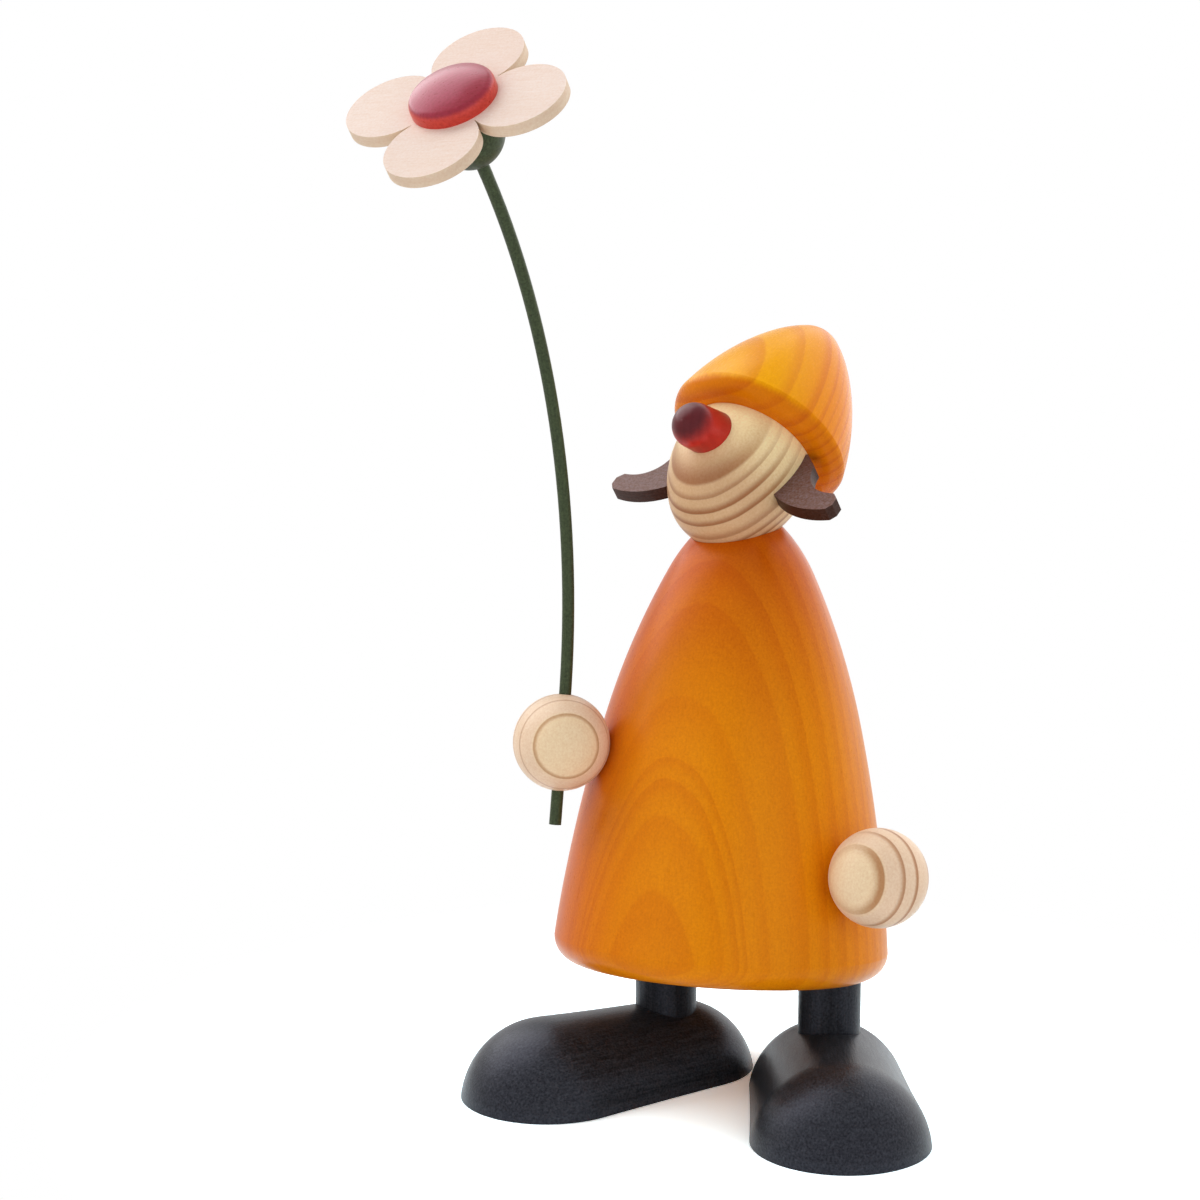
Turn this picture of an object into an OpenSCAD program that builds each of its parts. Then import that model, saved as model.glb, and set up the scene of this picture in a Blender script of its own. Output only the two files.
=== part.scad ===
// Turned wooden figure that looks up and holds out a long-stemmed flower.
// Millimetres. +Z is up and the figure faces -Y, so its left hand is on +X.
// Every piece is turned or sawn wood, glued on pegs or seats; only the flower slides in its hand.

/* [Coat] */
// Radius of the coat where it is widest, just above the hem
coat_r = 37.5; // [34:0.1:42]
// Rounding of the hem's lower edge
hem_round = 5.6; // [4:0.1:7]
// Inward lean of the skirt at the hem, in degrees
hem_lean = 5.8; // [4:0.1:8]
// Inward lean where the skirt turns into the chest, in degrees
chest_lean = 14.2; // [13:0.1:16]
// Inward lean where the chest turns into the shoulder, in degrees
shoulder_lean = 26.6; // [24:0.1:30]
// Profile radius of the skirt
skirt_arc_r = 350; // [320:5:380]
// Profile radius of the chest
chest_arc_r = 165; // [150:1:180]
// Profile radius of the shoulder
shoulder_arc_r = 37; // [33:1:41]
// Backward lean of the whole coat, in degrees
coat_lean = 8.9; // [5:0.1:12]
// Turn of the coat's lean towards the figure's right, in degrees
coat_turn = 3.5; // [0:0.5:8]
// Height of the middle of the hem above the floor
hem_height = 27.5; // [26:0.5:32]
// How far the middle of the hem lies ahead of the legs
hem_forward = 6; // [3:0.5:9]
// How far the middle of the hem lies to the figure's right of the legs' middle
hem_sideways = 4.3; // [0:0.1:5]

/* [Head] */
// Largest radius of the egg-shaped head
head_r = 15.6; // [14.5:0.1:17]
// Half the length of the head, from its middle to the chin
head_half = 20.1; // [18.5:0.1:22]
// Radius of the rounded ends of the head
head_end_r = 13.3; // [12:0.1:14]
// Height of the middle of the head over the top of the shoulder's arc, along the coat's axis
head_over_shoulder = 2.7; // [1:0.1:4]
// How far the middle of the head lies ahead of the coat's axis
head_forward = 2.3; // [1:0.1:5]
// How far the middle of the head lies to the figure's right of the coat's axis
head_sideways = 0.7; // [0:0.1:2]
// Backward tilt of the head, in degrees
head_tilt = 48.2; // [40:0.1:55]
// Turn of the head towards the flower, in degrees
head_turn = 14; // [0:0.5:25]
// Diameter of the neck peg
neck_peg_d = 8; // [6:0.5:9]
// Depth of the neck peg below the middle of the head
neck_peg_depth = 30; // [26:1:36]

/* [Hat] */
// Largest radius of the hat
hat_r = 21; // [19.5:0.1:23]
// Height of the hat's underside above the middle of the head
hat_rim_rise = 5.8; // [5:0.1:8]
// Rounding of the hat's lower edge
hat_edge_round = 3.6; // [2.5:0.1:5]
// Inward lean of the hat's side above the edge, in degrees
hat_edge_lean = 11.5; // [8:0.5:14]
// Inward lean half way up the hat, in degrees
hat_side_lean = 33.3; // [30:0.1:37]
// Inward lean where the hat's tip starts, in degrees
hat_tip_lean = 45.3; // [42:0.1:50]
// Profile radius of the lower side of the hat
hat_side_arc_r = 66; // [60:1:72]
// Profile radius of the upper side of the hat
hat_top_arc_r = 44.6; // [40:0.2:50]

/* [Nose] */
// Radius of the nose's round tip
nose_tip_r = 5.1; // [4.5:0.1:5.6]
// Length of the nose from its base on the head
nose_length = 9.9; // [8.5:0.1:12]
// Taper of the nose's side, in degrees
nose_taper = 2; // [1:0.5:6]
// Height of the nose's base above the middle of the head, along the head's axis
nose_rise = -3.4; // [-5:0.1:-2]
// Droop of the nose from square to the head's axis, in degrees
nose_droop = 28; // [18:1:38]
// Diameter of the tenon on the back of the nose
nose_tenon_d = 5; // [4:0.5:6]
// Length of the tenon inside the head
nose_tenon_length = 5; // [4:0.5:6]

/* [Pigtails] */
// Thickness of the board that the pigtails are sawn from
pigtail_thick = 3.3; // [2.5:0.1:4]
// Reach of a pigtail from the middle of the head to its tip
pigtail_reach = 30.2; // [28:0.1:34]
// Depth of a pigtail's root in its slot in the head
pigtail_root = 3; // [2:0.2:4]
// Drop of the tip's lower corner below the middle of the head
pigtail_drop = 11.7; // [10.5:0.1:12.5]
// Width of a pigtail near its tip
pigtail_width = 5.5; // [4.8:0.1:6.5]
// Radius of the hollow upper edge
pigtail_hollow_r = 7.8; // [7:0.1:8.6]
// Radius of the full lower edge
pigtail_belly_r = 18; // [16.5:0.5:22]
// Distance from the tip back to the middle of the hollow
pigtail_hollow_inset = 3.1; // [2.5:0.1:4]
// Distance from the tip back to the middle of the lower edge
pigtail_belly_inset = 5.5; // [4.5:0.1:6.5]
// Easing of the tip's corners
pigtail_tip_ease = 1.4; // [0.8:0.1:2]
// Height of the slanted facet under the tip
pigtail_tip_facet = 2; // [1.5:0.1:2.6]
// Gap between a pigtail's root and the hat's underside, along the head's axis
pigtail_under_hat = 0.6; // [0.3:0.1:1.5]
// Backward lean of the pigtails from the head's axis, in degrees
pigtail_lean = 5.6; // [2:0.1:10]
// How far the pigtails' front face lies ahead of the head's axis
pigtail_ahead = 0.9; // [0:0.1:2]

/* [Hands] */
// Diameter of the ball hands
hand_d = 21.4; // [19:0.1:24]
// Depth of a hand's seat in the coat
hand_seat = 0.7; // [0.4:0.1:1.2]
// Height of the right hand's seat above the hem plane
hand_right_rise = 47.3; // [42:0.1:52]
// Angle of the right hand from the front, in degrees
hand_right_angle = 49.7; // [42:0.1:57]
// Height of the left hand's seat above the hem plane
hand_left_rise = 24.1; // [20:0.1:28]
// Angle of the left hand from the front, in degrees
hand_left_angle = 64.7; // [57:0.1:72]
// Diameter of the pegs that hold the hands
hand_peg_d = 5; // [4:0.5:6]
// Depth of a hand peg in the coat
hand_peg_in_coat = 9; // [7:0.5:12]
// Depth of a hand peg in the hand
hand_peg_in_hand = 5; // [4:0.5:6]

/* [Legs and shoes] */
// Diameter of the legs
leg_d = 14; // [12:0.5:16]
// Distance between the legs' axes
leg_spacing = 39.8; // [36:0.2:44]
// Depth of a leg in the coat
leg_in_coat = 14; // [10:0.5:18]
// Thickness of a shoe under its leg
sole_under_leg = 6; // [4:0.5:8]
// Radius of the turned heel
heel_r = 17.9; // [16.5:0.1:19]
// Radius of the turned toe
toe_r = 19.6; // [18:0.1:21.5]
// Radius of the hollow between heel and toe
instep_arc_r = 1000; // [600:50:1500]
// Depth of the heel's centre below the floor, where the turned shape is sawn through
sole_cut = 2.9; // [1.5:0.1:4]
// Rise of the turning axis from heel to toe, in degrees
sole_tilt = 1.1; // [0:0.1:2]
// Distance from the leg's axis back to the centre of the heel
heel_back = 3.2; // [1:0.1:5]
// Distance from the leg's axis forward to the centre of the toe
toe_forward = 33; // [28:0.5:38]
// Outward turn of the right shoe, in degrees
shoe_right_turn = 29.9; // [20:0.5:38]
// Outward turn of the left shoe, in degrees
shoe_left_turn = 24.6; // [15:0.5:34]

/* [Flower] */
// Diameter of the stem
stem_d = 2.7; // [2.2:0.1:3.2]
// Length of the straight stem below the middle of the hand
stem_below = 18.2; // [16:0.2:24]
// Length of the bend that starts inside the hand, where it still fits the bore
stem_bend_in_hand = 2.5; // [1:0.1:3]
// Radius of the stem's bend
stem_bend_r = 150; // [140:0.5:170]
// Angle of the stem's bend, in degrees
stem_bend = 47; // [36:0.1:52]
// Backward lean of the stem in the hand, in degrees
stem_lean = 8.8; // [4:0.1:14]
// Turn of the stem's bend towards the figure's right, in degrees
stem_turn = 5.7; // [0:0.1:25]
// Straight stem that shows between the bend and the calyx bead
stem_clear_below = 3.1; // [1.5:0.1:4]
// Depth of the stem in the calyx bead
stem_in_calyx = 6; // [4:0.5:7]
// Diameter of the calyx bead under the blossom
calyx_d = 15; // [14:0.1:16]
// Height of the calyx bead, with its top sawn flat
calyx_height = 13; // [12:0.1:13.8]
// Radius of each of the four petals
petal_r = 10; // [9.5:0.1:11]
// Distance from the middle of the blossom to the middle of a petal
petal_out = 14.3; // [13:0.1:15]
// Thickness of the blossom's board
petal_thick = 2.6; // [2:0.1:3.5]
// Turn of the petals about the stem, in degrees
petal_turn = 6.6; // [0:0.1:45]
// Radius of the blossom's round centre
centre_r = 9.2; // [8.5:0.1:10]
// Height of the centre's upright side
centre_side = 1.4; // [1:0.1:2.5]
// Rounding between the centre's side and its dome
centre_shoulder_r = 2; // [1:0.1:3]
// Inward lean where that rounding turns into the dome, in degrees
centre_dome_lean = 65; // [55:1:75]
// Diameter of the centre's tenon
centre_tenon_d = 5; // [4:0.5:6]
// Depth of the centre's tenon in the calyx bead
centre_tenon_depth = 4; // [3:0.5:5]

/* [Fits] */
// Gap all round between glued pieces
glue_gap = 0.05; // [0.02:0.01:0.1]
// Radial clearance of the stem in the hand
stem_clearance = 0.06; // [0.03:0.01:0.1]

/* [Hidden] */
$fn = 96;
// Segments of the long profile arcs, so that a drawn arc stays close to the true one
profile_fn = 720;
LEFT = 1;
RIGHT = -1;
hand_r = hand_d / 2;
leg_r = leg_d / 2;
stem_r = stem_d / 2;
// Longer than any piece, for cuts that run right through
far = 200;

coat_stain = "darkorange";
pale_wood = "wheat";
dark_stain = "saddlebrown";
black_stain = "dimgray";
red_stain = "firebrick";
green_stain = "darkolivegreen";

// Turning of a point about the X and Z axes
function turn_x(p, a) = [p.x, p.y * cos(a) - p.z * sin(a), p.y * sin(a) + p.z * cos(a)];
function turn_z(p, a) = [p.x * cos(a) - p.y * sin(a), p.x * sin(a) + p.y * cos(a), p.z];

// A turned profile is a chain of arcs, each tangent to the next and leaning further in.
// These give an arc's centre from its start and an arc's end from its centre, as [radius, height].
function arc_centre(start, r, lean) = start - r * [cos(lean), sin(lean)];
function arc_end(centre, r, lean) = centre + r * [cos(lean), sin(lean)];
// Heights where two bands of a profile meet are rounded to a micron, so that both have the same edge
function to_micron(height) = round(height * 1000) / 1000;

// Coat profile: skirt, chest and shoulder
skirt_start = [coat_r, hem_round];
skirt_centre = arc_centre(skirt_start, skirt_arc_r, hem_lean);
chest_start = arc_end(skirt_centre, skirt_arc_r, chest_lean);
chest_centre = arc_centre(chest_start, chest_arc_r, chest_lean);
shoulder_start = arc_end(chest_centre, chest_arc_r, shoulder_lean);
shoulder_centre = arc_centre(shoulder_start, shoulder_arc_r, shoulder_lean);
shoulder_top = shoulder_centre.y + shoulder_arc_r;

// Hat profile above its rounded edge
hat_edge_top = hat_rim_rise + hat_edge_round;
hat_side_start = [hat_r, hat_edge_top];
hat_side_centre = arc_centre(hat_side_start, hat_side_arc_r, hat_edge_lean);
hat_top_start = arc_end(hat_side_centre, hat_side_arc_r, hat_side_lean);
hat_top_centre = arc_centre(hat_top_start, hat_top_arc_r, hat_side_lean);
hat_tip_start = arc_end(hat_top_centre, hat_top_arc_r, hat_tip_lean);
hat_tip_r = hat_tip_start.x / cos(hat_tip_lean);
hat_tip_centre = [0, hat_tip_start.y - hat_tip_r * sin(hat_tip_lean)];

// Places of the pieces, measured from the floor point midway between the legs
hem_middle = [-hem_sideways, -hem_forward, hem_height];
function on_coat(p) = hem_middle + turn_z(turn_x(p, -coat_lean), coat_turn);
head_rise = shoulder_top + head_over_shoulder;
head_middle = on_coat([-head_sideways, 0, head_rise]) - [0, head_forward, 0];
head_axis = turn_z(turn_x([0, 0, 1], -head_tilt), -head_turn);

// A hand touches the skirt's arc; its seat sinks it by hand_seat
function skirt_lean_at(rise) = asin((rise - skirt_centre.y) / skirt_arc_r);
function hand_spot(rise) = arc_end(skirt_centre, skirt_arc_r + hand_r - hand_seat, skirt_lean_at(rise));
function hand_middle(rise, angle) = on_coat(turn_z([0, -hand_spot(rise).x, hand_spot(rise).y], angle));

// Stem, in a frame at the middle of the right hand: straight along Z, then bent towards -Y
stem_above = hand_r - stem_bend_in_hand;
bend_end = [0, stem_bend_r * (cos(stem_bend) - 1), stem_above + stem_bend_r * sin(stem_bend)];
stem_direction = turn_z(turn_x([0, 0, 1], stem_bend - stem_lean), -stem_turn);
stem_top = hand_middle(hand_right_rise, -hand_right_angle)
  + turn_z(turn_x(bend_end, -stem_lean), -stem_turn);
calyx_r = calyx_d / 2;
// The stem's straight end is a hair thicker than the bend and laps it, so that the two are one solid
stem_end_extra = 0.02;
stem_end_r = stem_r + stem_end_extra;
stem_lap = 0.3;
calyx_low = stem_clear_below;
blossom_low = calyx_low + calyx_height;
blossom_top = blossom_low + petal_thick;

// Length of a shoe's turning axis between its balls, and the toe ball's place along and below the floor
shoe_span = heel_back + toe_forward;
toe_reach = shoe_span * cos(sole_tilt) - heel_back;
toe_sunk = sole_cut - shoe_span * sin(sole_tilt);

// Reach of a petal's rim along an axis, from the disc's middle and the blossom's direction
petal_angles = [0, 90, 180, 270];
function petal_middle(angle, height) = stem_top + turn_z(
  turn_x(turn_z([petal_out, 0, 0], petal_turn + angle) + [0, 0, height], stem_bend - stem_lean),
  -stem_turn
);
petal_middles = [for (angle = petal_angles, height = [blossom_low, blossom_top]) petal_middle(angle, height)];
petal_half_x = petal_r * sqrt(1 - stem_direction.x ^ 2);
petal_half_y = petal_r * sqrt(1 - stem_direction.y ^ 2);

// The footprint runs from the petals to the left toe, and from the petals to the hat's tip
toe_floor_r = sqrt(toe_r ^ 2 - toe_sunk ^ 2);
footprint_right = min([for (p = petal_middles) p.x]) - petal_half_x;
footprint_left = leg_spacing / 2 + toe_reach * sin(shoe_left_turn) + toe_floor_r;
footprint_front = min([for (p = petal_middles) p.y]) - petal_half_y;
// The hat's farthest point is where its slope is square to Y: on its tip or on its upper side
hat_back_lean = asin(head_axis.y);
hat_back_centre = hat_back_lean > hat_tip_lean ? hat_tip_centre : hat_top_centre;
hat_back_r = hat_back_lean > hat_tip_lean ? hat_tip_r : hat_top_arc_r;
hat_back = hat_back_centre * [cos(hat_back_lean), sin(hat_back_lean)] + hat_back_r;
footprint_back = head_middle.y + hat_back;
footprint_middle = [(footprint_left + footprint_right) / 2, (footprint_front + footprint_back) / 2, 0];

// Frames: each places its children where a group of pieces belongs
module on_floor() { translate(-footprint_middle) children(); }
module at_coat() { on_floor() translate(hem_middle) rotate([-coat_lean, 0, coat_turn]) children(); }
module at_neck() { on_floor() translate(head_middle) rotate([-coat_lean, 0, coat_turn]) children(); }
module at_head() { on_floor() translate(head_middle) rotate([-head_tilt, 0, -head_turn]) children(); }
module at_leg(side) { on_floor() translate([side * leg_spacing / 2, 0, 0]) children(); }
module at_stem() {
  on_floor() translate(hand_middle(hand_right_rise, -hand_right_angle))
    rotate([-stem_lean, 0, -stem_turn]) children();
}
module at_blossom() { at_stem() translate(bend_end) rotate([stem_bend, 0, 0]) children(); }

// Frame at the middle of a hand, with Z pointing away from the coat
module at_hand(rise, angle) {
  at_coat() rotate([0, 0, angle]) translate([0, -hand_spot(rise).x, hand_spot(rise).y])
    rotate([90 - skirt_lean_at(rise), 0, 0]) children();
}
module at_right_hand() { at_hand(hand_right_rise, -hand_right_angle) children(); }
module at_left_hand() { at_hand(hand_left_rise, hand_left_angle) children(); }

// One stretch of a turned profile: the disc of its arc, between two heights
module arc_band(centre, r, low, high) {
  band_low = to_micron(low);
  intersection() {
    translate(centre) circle(r, $fn = profile_fn);
    translate([0, band_low]) square([far, to_micron(high) - band_low]);
  }
}

module coat_profile() {
  arc_band(shoulder_centre, shoulder_arc_r, shoulder_start.y, shoulder_top);
  arc_band(chest_centre, chest_arc_r, chest_start.y, shoulder_start.y);
  arc_band(skirt_centre, skirt_arc_r, hem_round, chest_start.y);
  translate([coat_r - hem_round, hem_round]) intersection() {
    circle(hem_round);
    translate([0, -hem_round]) square(hem_round);
  }
  square([coat_r - hem_round, hem_round]);
}

// The head's oval has a side arc that is tangent to two round ends; grow widens it evenly
module head_oval(grow) {
  end_middle = head_half - head_end_r;
  side_r = (end_middle ^ 2 + head_r ^ 2 - head_end_r ^ 2) / (2 * (head_r - head_end_r));
  side_in = side_r - head_r;
  tangent_rise = side_r / (side_r - head_end_r) * end_middle;
  rotate_extrude() {
    for (end = [-1, 1]) intersection() {
      translate([0, end * end_middle]) circle(head_end_r + grow);
      translate([0, -far / 2]) square(far);
    }
    intersection() {
      translate([-side_in, 0]) circle(side_r + grow);
      translate([0, -tangent_rise]) square([far, 2 * tangent_rise]);
    }
  }
}

module hat_profile() {
  arc_band(hat_tip_centre, hat_tip_r, hat_tip_start.y, hat_tip_centre.y + hat_tip_r);
  arc_band(hat_top_centre, hat_top_arc_r, hat_top_start.y, hat_tip_start.y);
  arc_band(hat_side_centre, hat_side_arc_r, hat_edge_top, hat_top_start.y);
  translate([hat_r - hat_edge_round, hat_rim_rise + hat_edge_round]) intersection() {
    circle(hat_edge_round);
    translate([0, -hat_edge_round]) square(hat_edge_round);
  }
  translate([0, hat_rim_rise]) square([hat_r - hat_edge_round, hat_edge_round]);
}

// Pegs and tenons; grow makes the hole that takes them
module neck_peg_shape(grow) {
  translate([0, 0, -neck_peg_depth - grow]) cylinder(d = neck_peg_d + 2 * grow, h = neck_peg_depth + 2 * grow);
}
module hand_peg_shape(grow) {
  inner_end = hand_r - hand_seat + hand_peg_in_coat;
  outer_end = hand_r - hand_peg_in_hand;
  translate([0, 0, -inner_end - grow])
    cylinder(d = hand_peg_d + 2 * grow, h = inner_end - outer_end + 2 * grow);
}
module leg_shape(grow) {
  leg_top = hem_height - hem_forward * tan(coat_lean) + leg_in_coat;
  translate([0, 0, sole_under_leg - grow])
    cylinder(r = leg_r + grow, h = leg_top - sole_under_leg + 2 * grow);
}

// Frame at the base of the nose, with Z along the nose
module at_nose() {
  surface = head_r * sqrt(1 - (nose_rise / head_half) ^ 2);
  at_head() translate([0, -surface, nose_rise]) rotate([90 + nose_droop, 0, 0]) children();
}
module nose_tenon(grow) {
  translate([0, 0, -nose_tenon_length - grow])
    cylinder(d = nose_tenon_d + 2 * grow, h = nose_tenon_length + nose_tip_r / 2 + grow);
}

// Outline of the left pigtail: a horn with a full lower edge, a hollow upper edge and a blunt tip
module pigtail_outline() {
  root_x = head_r - pigtail_root;
  root_top = hat_rim_rise - pigtail_under_hat;
  tip_top = pigtail_width - pigtail_drop;
  hollow = [pigtail_reach - pigtail_hollow_inset, tip_top + pigtail_hollow_r];
  belly = [pigtail_reach - pigtail_belly_inset, pigtail_belly_r - pigtail_drop];
  difference() {
    intersection() {
      polygon([
        [root_x, -pigtail_drop],
        [root_x, root_top],
        [head_r, root_top],
        [hollow.x - pigtail_hollow_r, hollow.y],
        [hollow.x, tip_top],
        [pigtail_reach - pigtail_tip_ease, tip_top],
        [pigtail_reach, tip_top - pigtail_tip_ease],
        [pigtail_reach, -pigtail_drop + pigtail_tip_facet],
        [pigtail_reach - pigtail_tip_ease, -pigtail_drop]
      ]);
      translate(belly) circle(pigtail_belly_r);
    }
    translate(hollow) circle(pigtail_hollow_r);
  }
}
module pigtail_shape(side, grow) {
  at_head() scale([side, 1, 1]) rotate([-pigtail_lean, 0, 0])
    translate([0, pigtail_thick - pigtail_ahead + grow, 0]) rotate([90, 0, 0])
      linear_extrude(pigtail_thick + 2 * grow) pigtail_outline();
}

// A shoe is turned as a skittle, with the heel and toe as balls, then sawn through along its length
module shoe_profile() {
  heel_side = heel_r + instep_arc_r;
  toe_side = toe_r + instep_arc_r;
  along = (heel_side ^ 2 - toe_side ^ 2 + shoe_span ^ 2) / (2 * shoe_span);
  out = sqrt(heel_side ^ 2 - along ^ 2);
  hollow = [out, along];
  heel_end = to_micron(along * heel_r / heel_side);
  toe_start = to_micron(shoe_span + (along - shoe_span) * toe_r / toe_side);
  arc_band([0, 0], heel_r, -heel_r, heel_end);
  difference() {
    translate([0, heel_end]) square([hollow.x, toe_start - heel_end]);
    translate(hollow) circle(instep_arc_r, $fn = profile_fn);
  }
  arc_band([0, shoe_span], toe_r, toe_start, shoe_span + toe_r);
}
module shoe(side, turn) {
  at_leg(side) difference() {
    rotate([0, 0, side * turn]) intersection() {
      translate([0, heel_back, -sole_cut]) rotate([90 - sole_tilt, 0, 0]) rotate_extrude() shoe_profile();
      translate([-far / 2, -far / 2, 0]) cube(far);
    }
    leg_shape(glue_gap);
  }
}

module hand_ball() { sphere(hand_r); }

// Sub-parts
module coat() {
  color(coat_stain) difference() {
    at_coat() rotate_extrude() coat_profile();
    at_head() head_oval(glue_gap);
    at_neck() neck_peg_shape(glue_gap);
    at_right_hand() sphere(hand_r + glue_gap);
    at_left_hand() sphere(hand_r + glue_gap);
    at_right_hand() hand_peg_shape(glue_gap);
    at_left_hand() hand_peg_shape(glue_gap);
    for (side = [LEFT, RIGHT]) at_leg(side) leg_shape(glue_gap);
  }
}

module neck_peg() { color(pale_wood) at_neck() neck_peg_shape(0); }

module head() {
  color(pale_wood) difference() {
    at_head() head_oval(0);
    at_neck() neck_peg_shape(glue_gap);
    at_nose() nose_tenon(glue_gap);
    for (side = [LEFT, RIGHT]) pigtail_shape(side, glue_gap);
  }
}

module nose() {
  tip_middle = nose_length - nose_tip_r;
  touch = [nose_tip_r * cos(nose_taper), tip_middle + nose_tip_r * sin(nose_taper)];
  base_low = -nose_tip_r;
  base_r = touch.x + (touch.y - base_low) * tan(nose_taper);
  color(red_stain) {
    difference() {
      at_nose() rotate_extrude() {
        intersection() {
          translate([0, tip_middle]) circle(nose_tip_r);
          translate([0, -far / 2]) square(far);
        }
        polygon([[0, base_low], [base_r, base_low], touch, [0, touch.y]]);
      }
      at_head() head_oval(glue_gap);
    }
    at_nose() nose_tenon(0);
  }
}

module hat() {
  color(coat_stain) difference() {
    at_head() rotate_extrude() hat_profile();
    at_head() head_oval(glue_gap);
  }
}

module pigtail_left() { color(dark_stain) pigtail_shape(LEFT, 0); }
module pigtail_right() { color(dark_stain) pigtail_shape(RIGHT, 0); }

module hand_left() {
  color(pale_wood) difference() {
    at_left_hand() hand_ball();
    at_left_hand() hand_peg_shape(glue_gap);
  }
}
module hand_right() {
  color(pale_wood) difference() {
    at_right_hand() hand_ball();
    at_right_hand() hand_peg_shape(glue_gap);
    at_stem() cylinder(r = stem_r + stem_clearance, h = 2 * hand_d, center = true);
  }
}
module hand_peg_left() { color(pale_wood) at_left_hand() hand_peg_shape(0); }
module hand_peg_right() { color(pale_wood) at_right_hand() hand_peg_shape(0); }

module leg_left() { color(black_stain) at_leg(LEFT) leg_shape(0); }
module leg_right() { color(black_stain) at_leg(RIGHT) leg_shape(0); }
module shoe_left() { color(black_stain) shoe(LEFT, shoe_left_turn); }
module shoe_right() { color(black_stain) shoe(RIGHT, shoe_right_turn); }

module flower_stem() {
  color(green_stain) {
    at_stem() translate([0, 0, -stem_below]) cylinder(r = stem_r, h = stem_below + stem_above);
    at_stem() translate([0, -stem_bend_r, stem_above]) rotate([90, 0, 90])
      rotate_extrude(angle = stem_bend) translate([stem_bend_r, 0]) circle(stem_r);
    at_blossom() translate([0, 0, -stem_lap]) cylinder(r = stem_end_r, h = stem_lap + calyx_low + stem_in_calyx);
  }
}

module flower_calyx() {
  color(green_stain) at_blossom() translate([0, 0, calyx_low]) difference() {
    intersection() {
      translate([0, 0, calyx_r]) sphere(calyx_r);
      translate([-calyx_r, -calyx_r, 0]) cube([calyx_d, calyx_d, calyx_height]);
    }
    translate([0, 0, -glue_gap]) cylinder(r = stem_end_r + glue_gap, h = stem_in_calyx + 2 * glue_gap);
    translate([0, 0, calyx_height - centre_tenon_depth - glue_gap])
      cylinder(d = centre_tenon_d + 2 * glue_gap, h = centre_tenon_depth + 2 * glue_gap);
  }
}

module blossom() {
  color(pale_wood) at_blossom() translate([0, 0, blossom_low]) rotate([0, 0, petal_turn])
    linear_extrude(petal_thick) difference() {
      union() {
        for (angle = petal_angles) rotate(angle) translate([petal_out, 0]) circle(petal_r);
        circle(petal_out * cos(45));
      }
      circle(d = centre_tenon_d + 2 * glue_gap);
    }
}

// Profile of the blossom's centre: upright side, rounded shoulder and dome
module centre_profile() {
  shoulder = [centre_r - centre_shoulder_r, centre_side];
  dome_start = arc_end(shoulder, centre_shoulder_r, centre_dome_lean);
  dome_r = dome_start.x / cos(centre_dome_lean);
  dome_middle = [0, dome_start.y - dome_r * sin(centre_dome_lean)];
  square([centre_r, centre_side]);
  arc_band(shoulder, centre_shoulder_r, centre_side, dome_start.y);
  square([shoulder.x, to_micron(dome_start.y)]);
  arc_band(dome_middle, dome_r, dome_start.y, dome_middle.y + dome_r);
}
module flower_centre() {
  color(red_stain) at_blossom() translate([0, 0, blossom_top]) {
    rotate_extrude() centre_profile();
    translate([0, 0, -petal_thick - centre_tenon_depth])
      cylinder(d = centre_tenon_d, h = petal_thick + centre_tenon_depth);
  }
}

coat();
neck_peg();
head();
nose();
hat();
pigtail_left();
pigtail_right();
hand_left();
hand_right();
hand_peg_left();
hand_peg_right();
leg_left();
leg_right();
shoe_left();
shoe_right();
flower_stem();
flower_calyx();
blossom();
flower_centre();
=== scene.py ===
"""Looks of a turned wooden figure that leans back, looks up and holds out a long-stemmed flower.

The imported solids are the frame. Every piece is stained or bare wood, so each gets a procedural
wood finish: growth rings as layers behind one face, fibres along the grain and soaked-in stain.
Metres, +Z up, the figure faces -Y. Places and depths in the wood are in millimetres.
"""
import math
from typing import NamedTuple

import bpy
from mathutils import Euler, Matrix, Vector

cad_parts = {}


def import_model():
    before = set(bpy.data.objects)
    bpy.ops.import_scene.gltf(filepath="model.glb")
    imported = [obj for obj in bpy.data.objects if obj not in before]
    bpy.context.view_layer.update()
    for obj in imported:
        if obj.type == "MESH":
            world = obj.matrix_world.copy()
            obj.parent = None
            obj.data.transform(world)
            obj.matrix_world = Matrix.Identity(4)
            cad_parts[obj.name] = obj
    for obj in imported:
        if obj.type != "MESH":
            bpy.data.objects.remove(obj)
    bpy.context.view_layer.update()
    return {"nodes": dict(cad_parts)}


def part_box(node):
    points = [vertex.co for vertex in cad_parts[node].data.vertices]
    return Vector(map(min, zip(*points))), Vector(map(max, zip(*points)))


MM = 0.001
UP = Vector((0, 0, 1))
FRONT = Vector((0, -1, 0))
LEFT = Vector((1, 0, 0))
WHITE = (1, 1, 1, 1)

# Camera, from the photograph: the eye is measured from the floor midway between the legs
EYE = Vector((225.1, -570.3, 211.4)) * MM
CAMERA_TURN = 24.65
CAMERA_DIP = 9.35
LENS = 84
SENSOR = 36

# Stance of the figure, in degrees
COAT_LEAN = 8.9
COAT_TURN = 3.5
HEAD_TILT = 48.2
HEAD_TURN = 14
SHOE_TURNS = (("left", 24.6), ("right", -29.9))

# Middles of the turned pieces in millimetres, from the floor midway between the legs
HEM_MIDDLE = Vector((-4.3, -6.0, 27.5))
HEAD_MIDDLE = Vector((-6.06, 9.05, 138.77))
HAND_RIGHT_MIDDLE = Vector((-33.99, -26.04, 80.45))
HAND_LEFT_MIDDLE = Vector((37.23, -18.52, 55.81))

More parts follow.
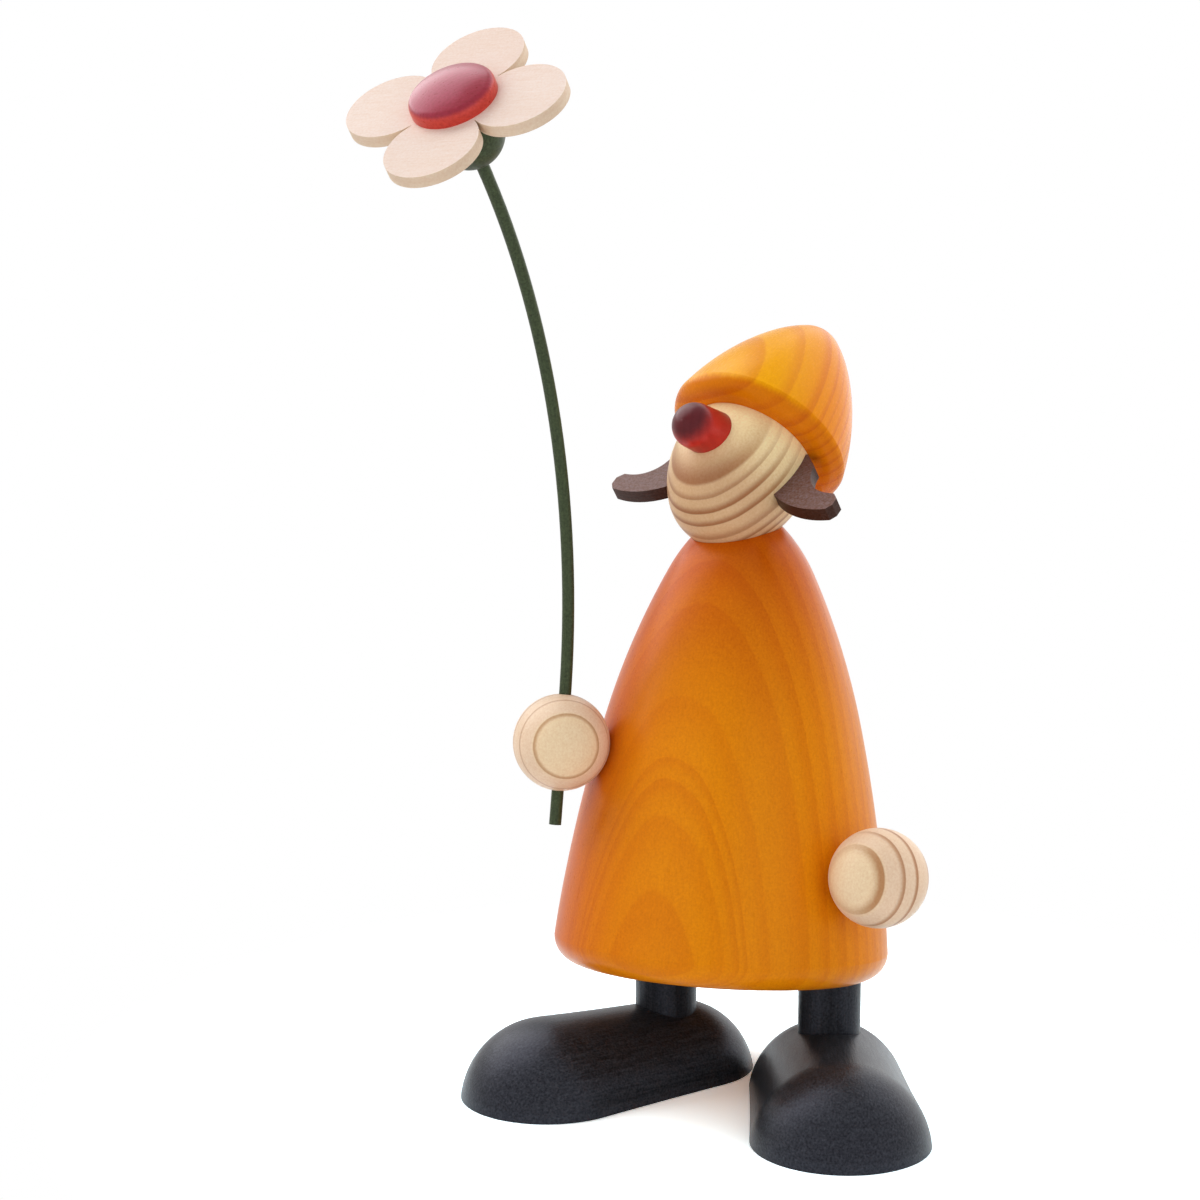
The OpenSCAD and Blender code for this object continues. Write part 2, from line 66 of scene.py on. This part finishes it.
# Dark edges of the growth rings, as millimetres behind a piece's middle, front to back
COAT_RINGS = (
    -39.5, -36.1, -33.8, -32.4, -31.5, -28.5, -21.6, -17.2, -12.4, -8.3, -4.5, -0.5,
    3.4, 7.1, 10.7, 14.2, 17.6, 21.0, 24.3, 27.5, 30.7, 33.8, 37.0, 40.2,
)
HAT_RINGS = (-24.0, -16.7, -10.7, -4.5, -1.5, 0.7, 3.3, 6.0, 8.6, 11.2, 13.8, 16.4, 19.0, 21.6, 24.2)
HEAD_RINGS = (-16.0, -10.3, -8.2, -5.3, -2.3, 2.0, 4.9, 7.5, 10.2, 12.9, 15.5, 18.0)
HAND_RIGHT_RINGS = (-11.9, -7.8, -4.1, -0.4, 3.3, 7.0, 10.7)
HAND_LEFT_RINGS = (-12.3, -7.5, -3.5, 0.1, 6.8, 10.0, 13.0)

# Sides of the wood that the rings lie behind; the hat's is in the tilted head's own directions
COAT_FACE = Vector((-0.035, -0.984, 0.178))
HAT_FACE = Vector((-0.275, -0.959, 0.070))
HAND_RIGHT_FACE = Vector((0.542, -0.834, 0.105))
HAND_LEFT_FACE = Vector((-0.305, -0.939, 0.156))

# Noise in the wood: its scales are in cells per millimetre
CLOUD_SCALE = 0.08
SWAY_SCALE = 0.06
FIBRE_SCALE = 2.6
FIBRE_DETAIL = 3.0
PORE_SCALE = 2.0
NOISE_DETAIL = 2.0
NOISE_ROUGHNESS = 0.55
FULL_SWING = 2  # makes a noise of -0.5 to 0.5 run from -1 to 1

# Share of the length along the grain that a noise leaves out, which draws it out that way
CLOUD_DRAW = 0.85
FIBRE_DRAW = 0.97

# What all the woods have alike
RING_SWAY = 1.0  # width of a ring's sway, in millimetres
FAINTEST_RING = 0.65  # strength of the faintest ring beside the strongest
LIGHT_SIDE = 0.25  # strength of the rings away from their heavy side
DARKEST_SHADE = 0.2
SOAK_FRAY = 0.2  # how much the fibres fray the edge of soaked stain
FIBRE_ROUGHNESS = 0.15  # how much the fibres vary the roughness
RING_RELIEF = 0.6  # how deep the rings lie beside the fibres and pores
RELIEF_DEPTH = 0.05 * MM

# Absorption where the grain darkens red, green and blue alike
NEUTRAL = (1, 1, 1)


class Stain(NamedTuple):
    """Colours of a wood as sRGB: between its rings, at their dark edges and where stain soaks in."""

    early: tuple
    late: tuple
    soaked: tuple
    sheen: tuple = (255, 255, 255)


class Tint(NamedTuple):
    """An sRGB colour that comes in over a reach in millimetres from the piece's middle."""

    colour: tuple
    reach: tuple


class Rings(NamedTuple):
    """Growth rings as layers behind a face, their dark edges at depths from the piece's middle.

    browning is the share of a ring over which it darkens, and lightening where it turns light again.
    Where a heavy side is given, the rings grow from faint to full towards it over the heavy reach.
    """

    face: Vector
    middle: Vector
    edges: tuple
    browning: tuple = (0.15, 0.8)
    lightening: float = 0.86
    contrast: float = 1.0
    heavy_side: Vector = None
    heavy_reach: tuple = (0, 1)


class Soak(NamedTuple):
    """Stain that soaks in where the surface faces along an axis, both ways or one way only.

    reach is how squarely the surface faces the axis where the stain begins and where it is darkest.
    """

    axis: Vector
    reach: tuple = (0.5, 1.0)
    strength: float = 0.6
    one_way: bool = False


class Grain(NamedTuple):
    """How much fibres, pores and slow clouds shade the wood, and how they act on red, green and blue."""

    fibre: float = 0.06
    pores: float = 0.16
    cloud: float = 0.08
    absorb: tuple = (0.6, 1.2, 1.8)


class Polish(NamedTuple):
    """How rough and glossy the surface is, and how much its grain stands out."""

    rough: float = 0.36
    gloss: float = 0.16
    relief: float = 0.1


class Lamp(NamedTuple):
    """A lamp by degrees round from the front to the figure's left and degrees up, metres and watts."""

    name: str
    round_left: float
    up: float
    distance: float
    width: float
    height: float
    power: float


COAT_STAIN = Stain((229, 135, 7), (222, 124, 5), (204, 88, 6), (255, 232, 214))
COAT_SHOULDER = (190, 74, 6)
HAT_STAIN = Stain((247, 170, 4), (226, 132, 6), (218, 116, 8), (255, 232, 214))
HAT_BACK = (238, 140, 10)
HAND_WOOD = Stain((243, 215, 176), (190, 140, 97), (226, 192, 150))
HAND_BACK = (240, 210, 180)
# Painted light: the head's stain is the hands' pale wood painted lighter, standing in for light under the
# hat's brim
HEAD_WOOD_PAINTED_LIGHTER = Stain((255, 230, 176), (190, 137, 88), (232, 198, 150))
# Painted shade: the head is painted darker towards the chin, standing in for the shade under it
HEAD_PAINTED_SHADE = (212, 172, 130)
PETAL_WOOD = Stain((240, 218, 204), (235, 210, 195), (227, 203, 178))
NOSE_STAIN = Stain((200, 48, 36), (184, 38, 30), (92, 26, 32))
CENTRE_STAIN = Stain((204, 66, 50), (180, 46, 38), (148, 36, 54), (255, 216, 246))
BROWN_STAIN = Stain((112, 82, 75), (92, 66, 60), (62, 36, 27))
BLACK_STAIN = Stain((40, 42, 46), (26, 26, 29), (34, 35, 40), (226, 226, 255))
GREEN_STAIN = Stain((62, 73, 48), (47, 57, 37), (52, 58, 41))

# Studio: the world, the floor, lamps that light the figure and cards that give it sheen
WORLD_LIGHT = 0.4
FLOOR_SIZE = 6
FLOOR_GREY = (0.85, 0.85, 0.85, 1)  # as it lights the figure
FLOOR_SEEN = (2.0, 2.3, 2.4, 1)  # as seen: bright, so that only the shadow shows, and a little cool
FLOOR_ROUGHNESS = 0.9
SHADOW_NEAR = 0.05  # distance from the feet at which the shadow begins to fade
SHADOW_FAR = 0.16  # and at which it is gone
AIM_HEIGHT = 100 * MM
LAMPS = (
    Lamp("left_box", -85, 46, 0.9, 0.36, 0.9, 3.9),
    Lamp("right_box", 143, 40, 0.9, 0.4, 0.9, 3.9),
    Lamp("left_fill", -24, 14, 1.0, 0.9, 0.7, 1.9),
    Lamp("right_fill", 52, 12, 1.0, 0.9, 0.7, 2.2),
)
CARDS = (
    Lamp("left_card", -98, 48, 0.9, 1.0, 1.05, 9.5),
    Lamp("right_card", 160, 28, 0.9, 1.0, 1.1, 3.0),
)


def linear(colour):
    """An sRGB colour of 0 to 255 as the linear RGBA that a shader takes."""
    parts = [c / 255 for c in colour]
    return [p / 12.92 if p <= 0.04045 else ((p + 0.055) / 1.055) ** 2.4 for p in parts] + [1]


def turned(tilt, turn):
    """The rotation of a piece that is tilted back and then turned to its left, in degrees."""
    return Euler((math.radians(-tilt), 0, math.radians(turn))).to_matrix()


def even_rings(step, reach):
    """Ring edges at an even step from one side of a piece to the other."""
    count = math.ceil(reach / step)
    return tuple(step * number for number in range(-count, count + 1))


class Nodes:
    """Short calls that add nodes to a node tree. A call takes numbers, vectors or sockets."""

    def __init__(self, tree):
        self.tree = tree

    def add(self, kind, inputs=(), **settings):
        node = self.tree.nodes.new(kind)
        for key, value in settings.items():
            setattr(node, key, value)
        for key, value in dict(inputs).items():
            self.put(node.inputs[key], value)
        return node

    def put(self, socket, value):
        if isinstance(value, bpy.types.NodeSocket):
            self.tree.links.new(value, socket)
        else:
            socket.default_value = value

    def math(self, operation, a, b=0.0, clamp=False):
        return self.add("ShaderNodeMath", {0: a, 1: b}, operation=operation, use_clamp=clamp).outputs[0]

    def vector(self, operation, a, b):
        return self.add("ShaderNodeVectorMath", {0: a, 1: b}, operation=operation).outputs["Vector"]

    def dot(self, a, b):
        return self.add("ShaderNodeVectorMath", {0: a, 1: b}, operation="DOT_PRODUCT").outputs["Value"]

    def length(self, a):
        return self.add("ShaderNodeVectorMath", {0: a}, operation="LENGTH").outputs["Value"]

    def scaled(self, a, factor):
        return self.add("ShaderNodeVectorMath", {0: a, "Scale": factor}, operation="SCALE").outputs["Vector"]

    def noise(self, where, scale, detail=NOISE_DETAIL):
        """Noise from about -0.5 to 0.5."""
        inputs = {"Vector": where, "Scale": scale, "Detail": detail, "Roughness": NOISE_ROUGHNESS}
        return self.math("SUBTRACT", self.add("ShaderNodeTexNoise", inputs).outputs["Fac"], 0.5)

    def ramp(self, value, low, high, to_low=0.0, to_high=1.0, kind="SMOOTHSTEP"):
        inputs = {"Value": value, "From Min": low, "From Max": high, "To Min": to_low, "To Max": to_high}
        return self.add("ShaderNodeMapRange", inputs, interpolation_type=kind).outputs["Result"]

    def mix(self, factor, a, b, blend="MIX"):
        node = self.add("ShaderNodeMix", data_type="RGBA", blend_type=blend)
        self.put(node.inputs["Factor"], factor)
        self.put(node.inputs["A"], a)
        self.put(node.inputs["B"], b)
        return node.outputs["Result"]


class Finish(Nodes):
    """A new material with its shader."""

    def __init__(self, name):
        self.material = bpy.data.materials.new(name)
        self.material.use_nodes = True
        super().__init__(self.material.node_tree)
        self.shader = self.tree.nodes["Principled BSDF"]


def drawn_out(f, place, along, share):
    """Places for a noise that is drawn out along a direction."""
    taken = f.math("MULTIPLY", f.dot(place, tuple(along)), share)
    return f.vector("SUBTRACT", place, f.scaled(tuple(along), taken))


def ring_band(f, rings, depth, inward):
    """How dark the growth rings are at a depth behind their face, from 0 to 1."""
    passed = 0.0
    for near, far in zip(rings.edges, rings.edges[1:]):
        passed = f.math("ADD", passed, f.ramp(depth, near, far, kind="LINEAR"))
    number = f.math("FLOOR", passed)
    odd = f.add("ShaderNodeTexWhiteNoise", {"W": number}, noise_dimensions="1D").outputs["Value"]
    strength = f.ramp(odd, 0.0, 1.0, FAINTEST_RING * rings.contrast, rings.contrast)
    phase = f.math("FRACT", passed)
    rise = f.ramp(phase, *rings.browning)
    fall = f.ramp(phase, rings.lightening, 1.0, 1.0, 0.0)
    band = f.math("MULTIPLY", f.math("MULTIPLY", rise, fall), strength, clamp=True)
    if rings.heavy_side:
        side = f.dot(inward, tuple(-rings.heavy_side.normalized()))
        band = f.math("MULTIPLY", band, f.ramp(side, *rings.heavy_reach, LIGHT_SIDE, 1.0))
    return band


def soaked_share(f, soak, streak):
    """How far the stain has soaked in, by the way the surface faces."""
    normal = f.add("ShaderNodeNewGeometry").outputs["Normal"]
    local = f.add(
        "ShaderNodeVectorTransform", {"Vector": normal},
        vector_type="NORMAL", convert_from="WORLD", convert_to="OBJECT",
    ).outputs["Vector"]
    facing = f.dot(local, tuple(soak.axis.normalized()))
    if not soak.one_way:
        facing = f.math("ABSOLUTE", facing)
    facing = f.math("ADD", facing, f.math("MULTIPLY", streak, SOAK_FRAY))
    return f.ramp(facing, *soak.reach, 0.0, soak.strength)


def shading(f, grain, streak, cloud, pores):
    """The colour that fibres, clouds and pores multiply the wood's colour by."""
    shade = 1.0
    for noise, share in ((streak, grain.fibre), (cloud, grain.cloud), (pores, grain.pores)):
        shade = f.math("ADD", shade, f.math("MULTIPLY", noise, FULL_SWING * share))
    shade = f.math("MAXIMUM", shade, DARKEST_SHADE)
    shades = [f.math("POWER", shade, power) for power in grain.absorb]
    return f.add("ShaderNodeCombineColor", zip(("Red", "Green", "Blue"), shades)).outputs["Color"]


def wood(name, stain, along, rings, soak=None, grain=Grain(), polish=Polish(), flush=None, deep=None):
    """A wood finish whose fibres run along a direction.

    flush is a tint that comes in along the fibres, and deep one that comes in with the depth behind
    the rings' face.
    """
    f = Finish(name)
    along = along.normalized()
    place = f.scaled(f.add("ShaderNodeTexCoord").outputs["Object"], 1 / MM)
    inward = f.vector("SUBTRACT", tuple(rings.middle), place)
    cloud_place = drawn_out(f, place, along, CLOUD_DRAW)
    cloud = f.noise(cloud_place, CLOUD_SCALE)
    streak = f.noise(drawn_out(f, place, along, FIBRE_DRAW), FIBRE_SCALE, FIBRE_DETAIL)
    pores = f.noise(place, PORE_SCALE)
    sway = f.math("MULTIPLY", f.noise(cloud_place, SWAY_SCALE), RING_SWAY)
    depth = f.math("ADD", f.dot(inward, tuple(rings.face.normalized())), sway)
    band = ring_band(f, rings, depth, inward)

    colour = linear(stain.early)
    if flush:
        height = f.dot(inward, tuple(-along))
        colour = f.mix(f.ramp(height, *flush.reach), colour, linear(flush.colour))
    if deep:
        colour = f.mix(f.ramp(depth, *deep.reach), colour, linear(deep.colour))
    if soak:
        colour = f.mix(soaked_share(f, soak, streak), colour, linear(stain.soaked))
    late = [dark / light for dark, light in zip(linear(stain.late), linear(stain.early))]
    colour = f.mix(band, colour, late, "MULTIPLY")
    colour = f.mix(1.0, colour, shading(f, grain, streak, cloud, pores), "MULTIPLY")
    f.put(f.shader.inputs["Base Color"], colour)

    roughness = f.math("ADD", f.math("MULTIPLY", streak, FIBRE_ROUGHNESS), polish.rough)
    f.put(f.shader.inputs["Roughness"], roughness)
    f.shader.inputs["Specular IOR Level"].default_value = polish.gloss
    f.shader.inputs["Specular Tint"].default_value = linear(stain.sheen)
    surface = f.math("SUBTRACT", f.math("ADD", streak, pores), f.math("MULTIPLY", band, RING_RELIEF))
    bump = f.add("ShaderNodeBump", {"Height": surface, "Strength": polish.relief, "Distance": RELIEF_DEPTH})
    f.put(f.shader.inputs["Normal"], bump.outputs["Normal"])
    return f.material


def middle_of(node):
    """The middle of a CAD node's box, in millimetres."""
    low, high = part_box(node)
    return (low + high) / 2 / MM


def dress(frame, finish, slot, *nodes):
    """Gives CAD nodes a finish in place of the plain one they come with."""
    for node in nodes:
        piece = frame["nodes"][node]
        piece.data.materials.clear()
        piece.data.materials.append(finish)


def dress_coat(frame, feet):
    coat = wood(
        "orange_coat", COAT_STAIN, turned(COAT_LEAN, COAT_TURN) @ UP,
        Rings(COAT_FACE, feet + HEM_MIDDLE, COAT_RINGS, browning=(0.2, 0.92), lightening=0.94),
        Soak(-LEFT, reach=(0.0, 0.9), strength=0.8, one_way=True),
        Grain(fibre=0.14, pores=0.24),
        Polish(rough=0.3, gloss=0.12),
        flush=Tint(COAT_SHOULDER, reach=(45, 118)),
    )
    dress(frame, coat, "orange_stain", "coat")


def dress_head(frame, feet):
    turning = turned(HEAD_TILT, -HEAD_TURN)
    head_up = turning @ UP
    head_front = turning @ FRONT
    head_middle = feet + HEAD_MIDDLE
    hat = wood(
        "orange_hat", HAT_STAIN, head_up,
        Rings(
            turning @ HAT_FACE, head_middle, HAT_RINGS,
            browning=(0.5, 0.92), lightening=0.94, contrast=0.7,
        ),
        Soak(head_up, reach=(0.1, -0.5), strength=0.9, one_way=True),
        Grain(fibre=0.1),
        Polish(rough=0.26, gloss=0.09),
        deep=Tint(HAT_BACK, reach=(-18, 0)),
    )
    dress(frame, hat, "orange_stain", "hat")
    head = wood(
        # painted light: a lighter copy of the hands' pale wood
        "pale_head_painted_light_and_shade", HEAD_WOOD_PAINTED_LIGHTER, head_up,
        Rings(
            head_front, head_middle, HEAD_RINGS,
            browning=(0.34, 0.88), lightening=0.9, heavy_side=-head_up, heavy_reach=(-7, 11),
        ),
        Soak(head_up, strength=0.1),
        # painted shade, darker towards the chin
        flush=Tint(HEAD_PAINTED_SHADE, reach=(2, -14)),
    )
    dress(frame, head, "pale_wood", "head", "neck_peg")

    nose_middle = middle_of("nose")
    nose_out = nose_middle - head_middle
    nose = wood(
        "red_nose", NOSE_STAIN, nose_out,
        Rings(LEFT, nose_middle, even_rings(step=1.6, reach=12), contrast=0.5),
        Soak(nose_out, reach=(-0.05, 0.75), strength=1.0),
        polish=Polish(rough=0.32, gloss=0.2),
    )
    dress(frame, nose, "red_stain", "nose")
    pigtails = wood(
        "brown_pigtails", BROWN_STAIN, turning @ LEFT,
        Rings(head_up, head_middle, even_rings(step=1.8, reach=40), contrast=0.3),
        Soak(head_front, reach=(0.7, 0.3), strength=1.0),
        Grain(fibre=0.2, pores=0.9),
        Polish(rough=0.4, gloss=0.14, relief=0.6),
    )
    dress(frame, pigtails, "brown_stain", "pigtail_left", "pigtail_right")


def dress_hands(frame, feet):
    right = wood(
        "pale_hand_right", HAND_WOOD, UP,
        Rings(
            HAND_RIGHT_FACE, feet + HAND_RIGHT_MIDDLE, HAND_RIGHT_RINGS,
            browning=(0.78, 0.93), lightening=0.95, contrast=0.9,
        ),
        Soak(UP, strength=0.1),
        deep=Tint(HAND_BACK, reach=(-8.2, -7.4)),
    )
    dress(frame, right, "pale_wood", "hand_right", "hand_peg_right")
    left = wood(
        "pale_hand_left", HAND_WOOD, UP,
        Rings(
            HAND_LEFT_FACE, feet + HAND_LEFT_MIDDLE, HAND_LEFT_RINGS,
            browning=(0.6, 0.92), lightening=0.93, contrast=1.4, heavy_side=LEFT, heavy_reach=(-6, 4),
        ),
        Soak(UP, strength=0.1),
        deep=Tint(HAND_BACK, reach=(-7.9, -7.1)),
    )
    dress(frame, left, "pale_wood", "hand_left", "hand_peg_left")


def dress_legs(frame, feet):
    for side, turn in SHOE_TURNS:
        toe = turned(0, turn) @ FRONT
        shoe = wood(
            "black_shoe_" + side, BLACK_STAIN, toe,
            Rings(UP, middle_of("shoe_" + side), even_rings(step=2.2, reach=24), contrast=0.3),
            Soak(toe, strength=0.5),
            Grain(fibre=1.2, pores=1.8, cloud=0.15, absorb=NEUTRAL),
            Polish(rough=0.36, gloss=0.23, relief=0.9),
        )
        dress(frame, shoe, "black_stain", "shoe_" + side)
    legs = wood(
        "black_legs", BLACK_STAIN, UP,
        Rings(LEFT, feet, even_rings(step=1.7, reach=40), contrast=0.5),
        grain=Grain(fibre=0.6, pores=1.4, cloud=0.15, absorb=NEUTRAL),
        polish=Polish(rough=0.4, gloss=0.15, relief=0.9),
    )
    dress(frame, legs, "black_stain", "leg_left", "leg_right")


def dress_flower(frame):
    stem = wood(
        "green_stem", GREEN_STAIN, UP,
        Rings(LEFT, middle_of("flower_stem"), even_rings(step=0.9, reach=40), contrast=0.3),
        Soak(UP),
        Grain(fibre=0.2, pores=0.8, absorb=NEUTRAL),
        Polish(rough=0.45, gloss=0.2),
    )
    dress(frame, stem, "green_stain", "flower_stem", "flower_calyx")
    out = (middle_of("flower_centre") - middle_of("flower_calyx")).normalized()
    petals = wood(
        "petal_wood", PETAL_WOOD, LEFT,
        Rings(out, middle_of("blossom"), even_rings(step=2.2, reach=40)),
        Soak(out, reach=(0.75, 0.35), strength=1.0),
        Grain(fibre=0.1, pores=0.12, cloud=0.05),
        Polish(rough=0.55, gloss=0.12),
    )
    dress(frame, petals, "petal_wood", "blossom")
    centre = wood(
        "red_centre", CENTRE_STAIN, LEFT - FRONT,
        Rings(LEFT + FRONT, middle_of("flower_centre"), even_rings(step=0.8, reach=14), contrast=0.3),
        Soak(out, reach=(0.3, 0.75), strength=0.9),
        Grain(fibre=0.3, pores=0.3),
        Polish(rough=0.3, gloss=0.4, relief=0.06),
    )
    dress(frame, centre, "red_stain", "flower_centre")


def set_camera(floor_middle):
    data = bpy.data.cameras.new("photo_camera")
    data.lens = LENS
    data.sensor_width = SENSOR
    camera = bpy.data.objects.new("photo_camera", data)
    camera.location = floor_middle + EYE
    camera.rotation_euler = (math.radians(90 - CAMERA_DIP), 0, math.radians(CAMERA_TURN))
    bpy.context.scene.collection.objects.link(camera)
    bpy.context.scene.camera = camera


def add_lamp(lamp, target, card):
    """An area lamp that only lights, or a card that only shows as sheen."""
    data = bpy.data.lights.new(lamp.name, "AREA")
    data.shape = "RECTANGLE"
    data.size = lamp.width
    data.size_y = lamp.height
    data.energy = lamp.power
    placed = bpy.data.objects.new(lamp.name, data)
    towards = turned(lamp.up, lamp.round_left) @ FRONT
    placed.location = target + towards * lamp.distance
    placed.rotation_euler = (-towards).to_track_quat("-Z", "Y").to_euler()
    placed.visible_diffuse = not card
    placed.visible_glossy = card
    bpy.context.scene.collection.objects.link(placed)


def seen_apart(f, lit, seen):
    """A shader that lights the object as one thing, and that the camera and reflections see as another."""
    rays = f.add("ShaderNodeLightPath").outputs
    sight = f.math("MAXIMUM", rays["Is Camera Ray"], rays["Is Glossy Ray"])
    sight = f.math("MAXIMUM", sight, rays["Is Transmission Ray"])
    return f.add("ShaderNodeMixShader", {0: sight, 1: lit, 2: seen}).outputs[0]


def set_world():
    world = bpy.data.worlds.new("studio")
    bpy.context.scene.world = world
    world.use_nodes = True
    f = Nodes(world.node_tree)
    light = world.node_tree.nodes["Background"]
    light.inputs["Color"].default_value = WHITE
    light.inputs["Strength"].default_value = WORLD_LIGHT
    backdrop = f.add("ShaderNodeBackground", {"Color": WHITE, "Strength": 1.0})
    shown = seen_apart(f, light.outputs[0], backdrop.outputs[0])
    f.put(world.node_tree.nodes["World Output"].inputs["Surface"], shown)


def set_floor(floor_middle):
    """A white floor that keeps the shadow near the figure and is plain white farther out."""
    bpy.ops.mesh.primitive_plane_add(size=FLOOR_SIZE, location=floor_middle)
    floor = bpy.context.object
    floor.name = "floor"
    f = Finish("white_floor")
    f.shader.inputs["Base Color"].default_value = FLOOR_GREY
    f.shader.inputs["Roughness"].default_value = FLOOR_ROUGHNESS
    f.shader.inputs["Specular IOR Level"].default_value = 0.0
    place = f.add("ShaderNodeTexCoord").outputs["Object"]
    away = f.ramp(f.length(place), SHADOW_NEAR, SHADOW_FAR)
    near = f.add("ShaderNodeBsdfDiffuse", {"Color": FLOOR_SEEN})
    plain = f.add("ShaderNodeEmission", {"Color": WHITE, "Strength": 1.0})
    fading = f.add("ShaderNodeMixShader", {0: away, 1: near.outputs[0], 2: plain.outputs[0]})
    shown = seen_apart(f, f.shader.outputs[0], fading.outputs[0])
    f.put(f.tree.nodes["Material Output"].inputs["Surface"], shown)
    floor.data.materials.append(f.material)


def set_studio(floor_middle):
    set_world()
    set_floor(floor_middle)
    target = floor_middle + UP * AIM_HEIGHT
    for lamp in LAMPS:
        add_lamp(lamp, target, card=False)
    for lamp in CARDS:
        add_lamp(lamp, target, card=True)


def main():
    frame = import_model()
    feet = (middle_of("leg_left") + middle_of("leg_right")) / 2
    feet.z = 0

    dress_coat(frame, feet)
    dress_head(frame, feet)
    dress_hands(frame, feet)
    dress_legs(frame, feet)
    dress_flower(frame)
    set_camera(feet * MM)
    set_studio(feet * MM)
    bpy.context.scene.view_settings.view_transform = "Standard"


main()
